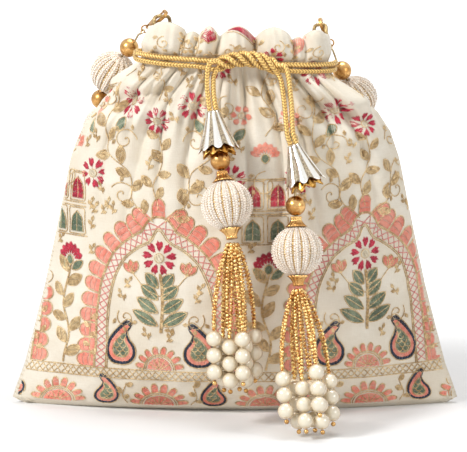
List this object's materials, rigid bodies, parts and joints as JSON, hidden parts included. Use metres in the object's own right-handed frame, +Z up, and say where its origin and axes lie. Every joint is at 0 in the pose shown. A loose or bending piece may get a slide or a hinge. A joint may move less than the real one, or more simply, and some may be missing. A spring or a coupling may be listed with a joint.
{
  "type": "potli bag",
  "caption": "Embroidered drawstring pouch with a gathered neck, twin cords ending in beaded tassels, and a swinging handle of ribbed white balls and gold beads",
  "frame": {"origin": "centre of the flat base, on the surface that the bag stands on", "axes": "+X to the right seen from the front, along the bag's width, +Y to the back, +Z up; the front with the tassels faces -Y"},
  "size_m": [0.223, 0.1632, 0.1969],
  "materials": {
    "ivory_brocade": "satin silk with raised thread embroidery",
    "cream_lining": "smooth",
    "gold_cord": "braided metallic cord",
    "gold_thread": "twisted metallic thread",
    "gold_metal": "antique gold plating",
    "beading_wire": "twisted wire",
    "white_beadwork": "covered with rows of off-white seed beads",
    "silver_foil_cloth": "pleated metallic foil cloth",
    "seed_beads_and_pearls": "gold seed beads, then glossy cream pearls"
  },
  "bodies": {
    "pouch": {"outer_bag": "ivory_brocade", "lining": "cream_lining", "drawstring_left": "gold_cord", "drawstring_right": "gold_cord", "thread_loop_left": "gold_thread", "thread_loop_right": "gold_thread"},
    "handle": {"clasp_body_left": "gold_metal", "clasp_pin_left": "gold_metal", "jump_ring_left": "gold_metal", "clasp_body_right": "gold_metal", "clasp_pin_right": "gold_metal", "jump_ring_right": "gold_metal", "handle_string": "beading_wire", "handle_ball_1": "white_beadwork", "handle_ball_2": "white_beadwork", "handle_ball_3": "white_beadwork", "handle_ball_4": "white_beadwork", "handle_ball_5": "white_beadwork", "handle_ball_6": "white_beadwork", "handle_ball_7": "white_beadwork", "handle_ball_8": "white_beadwork", "handle_bead_1": "gold_metal", "handle_bead_2": "gold_metal", "handle_bead_3": "gold_metal", "handle_bead_4": "gold_metal", "handle_bead_5": "gold_metal", "handle_bead_6": "gold_metal", "handle_bead_7": "gold_metal", "handle_bead_8": "gold_metal", "handle_bead_9": "gold_metal"},
    "lever_left": {"clasp_lever_left": "gold_metal"},
    "lever_right": {"clasp_lever_right": "gold_metal"},
    "tassel_left": {"tassel_cone_left": "silver_foil_cloth", "tassel_bead_left": "gold_metal", "upper_cap_left": "gold_metal", "tassel_ball_left": "white_beadwork", "lower_cap_left": "gold_metal", "tassel_string_left": "beading_wire"},
    "tassel_right": {"tassel_cone_right": "silver_foil_cloth", "tassel_bead_right": "gold_metal", "upper_cap_right": "gold_metal", "tassel_ball_right": "white_beadwork", "lower_cap_right": "gold_metal", "tassel_string_right": "beading_wire"},
    "fringe_left": {"strand_left_1": "seed_beads_and_pearls", "strand_left_2": "seed_beads_and_pearls", "strand_left_3": "seed_beads_and_pearls", "strand_left_4": "seed_beads_and_pearls", "strand_left_5": "seed_beads_and_pearls", "strand_left_6": "seed_beads_and_pearls", "strand_left_7": "seed_beads_and_pearls", "strand_left_8": "seed_beads_and_pearls"},
    "fringe_right": {"strand_right_1": "seed_beads_and_pearls", "strand_right_2": "seed_beads_and_pearls", "strand_right_3": "seed_beads_and_pearls", "strand_right_4": "seed_beads_and_pearls", "strand_right_5": "seed_beads_and_pearls", "strand_right_6": "seed_beads_and_pearls", "strand_right_7": "seed_beads_and_pearls", "strand_right_8": "seed_beads_and_pearls"}
  },
  "joints": [
    {"name": "handle_swing", "type": "hinge", "parent": "pouch", "child": "handle", "pos_m": [-0.03648, 0.0144, 0.19373], "axis": [0.9985, 0, -0.0549], "range_deg": [0, 180]},
    {"name": "clasp_lever_left", "type": "hinge", "parent": "handle", "child": "lever_left", "pos_m": [-0.04029, 0.01815, 0.19139], "axis": [0.6696, 0.2423, -0.7021], "range_deg": [0, 15], "stiffness_Nm_per_rad": 0.002, "springref_deg": -11.46},
    {"name": "clasp_lever_right", "type": "hinge", "parent": "handle", "child": "lever_right", "pos_m": [0.04531, 0.01852, 0.18567], "axis": [0.9332, -0.1394, 0.3314], "range_deg": [0, 15], "stiffness_Nm_per_rad": 0.002, "springref_deg": -11.46},
    {"name": "tassel_swing_left", "type": "hinge", "parent": "pouch", "child": "tassel_left", "pos_m": [-0.01157, -0.03209, 0.15741], "axis": [-1, 0, 0], "range_deg": [0, 90]},
    {"name": "tassel_swing_right", "type": "hinge", "parent": "pouch", "child": "tassel_right", "pos_m": [0.02759, -0.03738, 0.14126], "axis": [-1, 0, 0], "range_deg": [0, 90]},
    {"name": "fringe_swing_left", "type": "hinge", "parent": "tassel_left", "child": "fringe_left", "pos_m": [-0.0015, -0.05526, 0.09299], "axis": [-1, 0, 0], "range_deg": [0, 25]},
    {"name": "fringe_swing_right", "type": "hinge", "parent": "tassel_right", "child": "fringe_right", "pos_m": [0.03128, -0.05428, 0.06926], "axis": [-1, 0, 0], "range_deg": [0, 25]}
  ]
}
